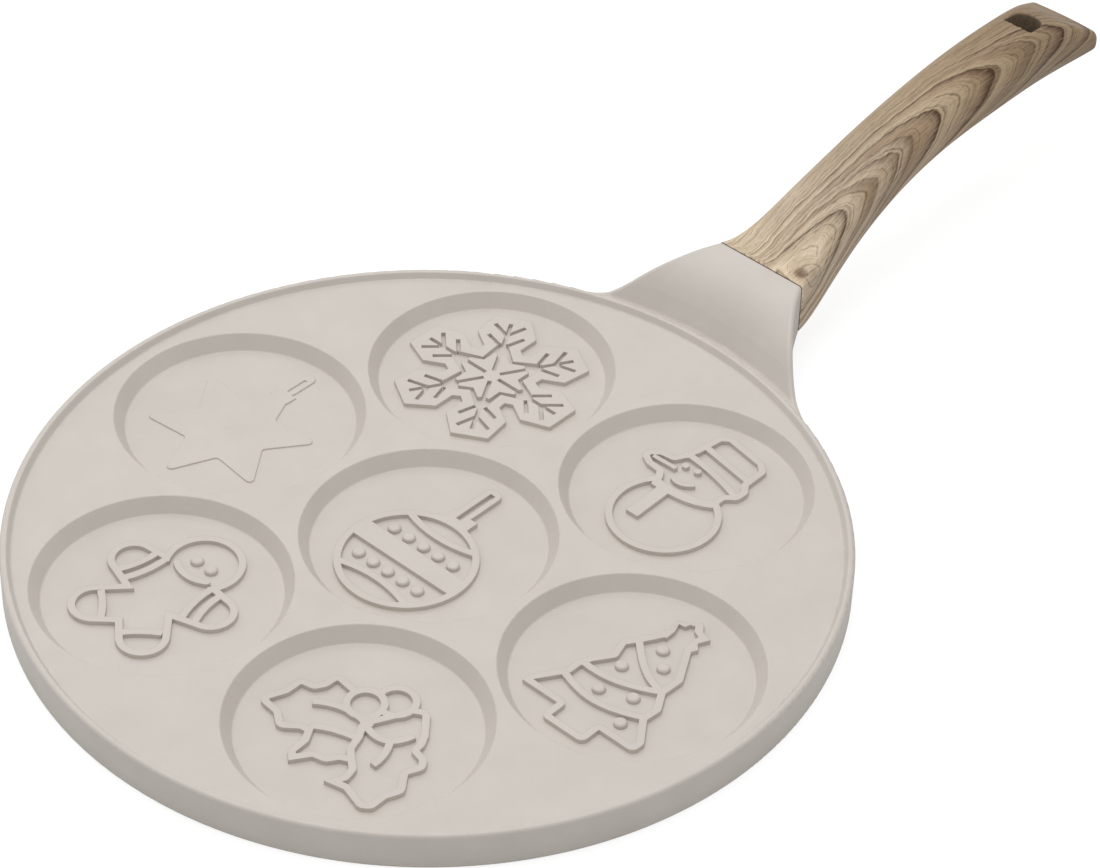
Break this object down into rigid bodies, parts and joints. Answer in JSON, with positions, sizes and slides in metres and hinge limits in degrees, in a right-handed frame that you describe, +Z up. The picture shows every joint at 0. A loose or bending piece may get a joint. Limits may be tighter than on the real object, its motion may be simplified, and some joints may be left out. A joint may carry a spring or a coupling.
{
  "type": "pancake pan",
  "caption": "Round cast pancake pan with shallow round wells holding raised winter holiday figures, a flared tongue and a rising wood-look handle with a hang hole.",
  "frame": {"origin": "centre of the round base, on the plane it stands on", "axes": "+X along the handle from the pan's centre, +Z up"},
  "size_m": [0.4573, 0.265, 0.0615],
  "materials": {
    "coating": "satin non-stick coating, warm light grey",
    "handle": "satin, wood-grain print",
    "seal": "matt",
    "fastener": "plain steel"
  },
  "bodies": {
    "root": {"pan_body": "coating", "handle_grip": "handle", "joint_gasket": "seal", "handle_screw": "fastener", "spring_washer": "fastener"}
  },
  "joints": []
}
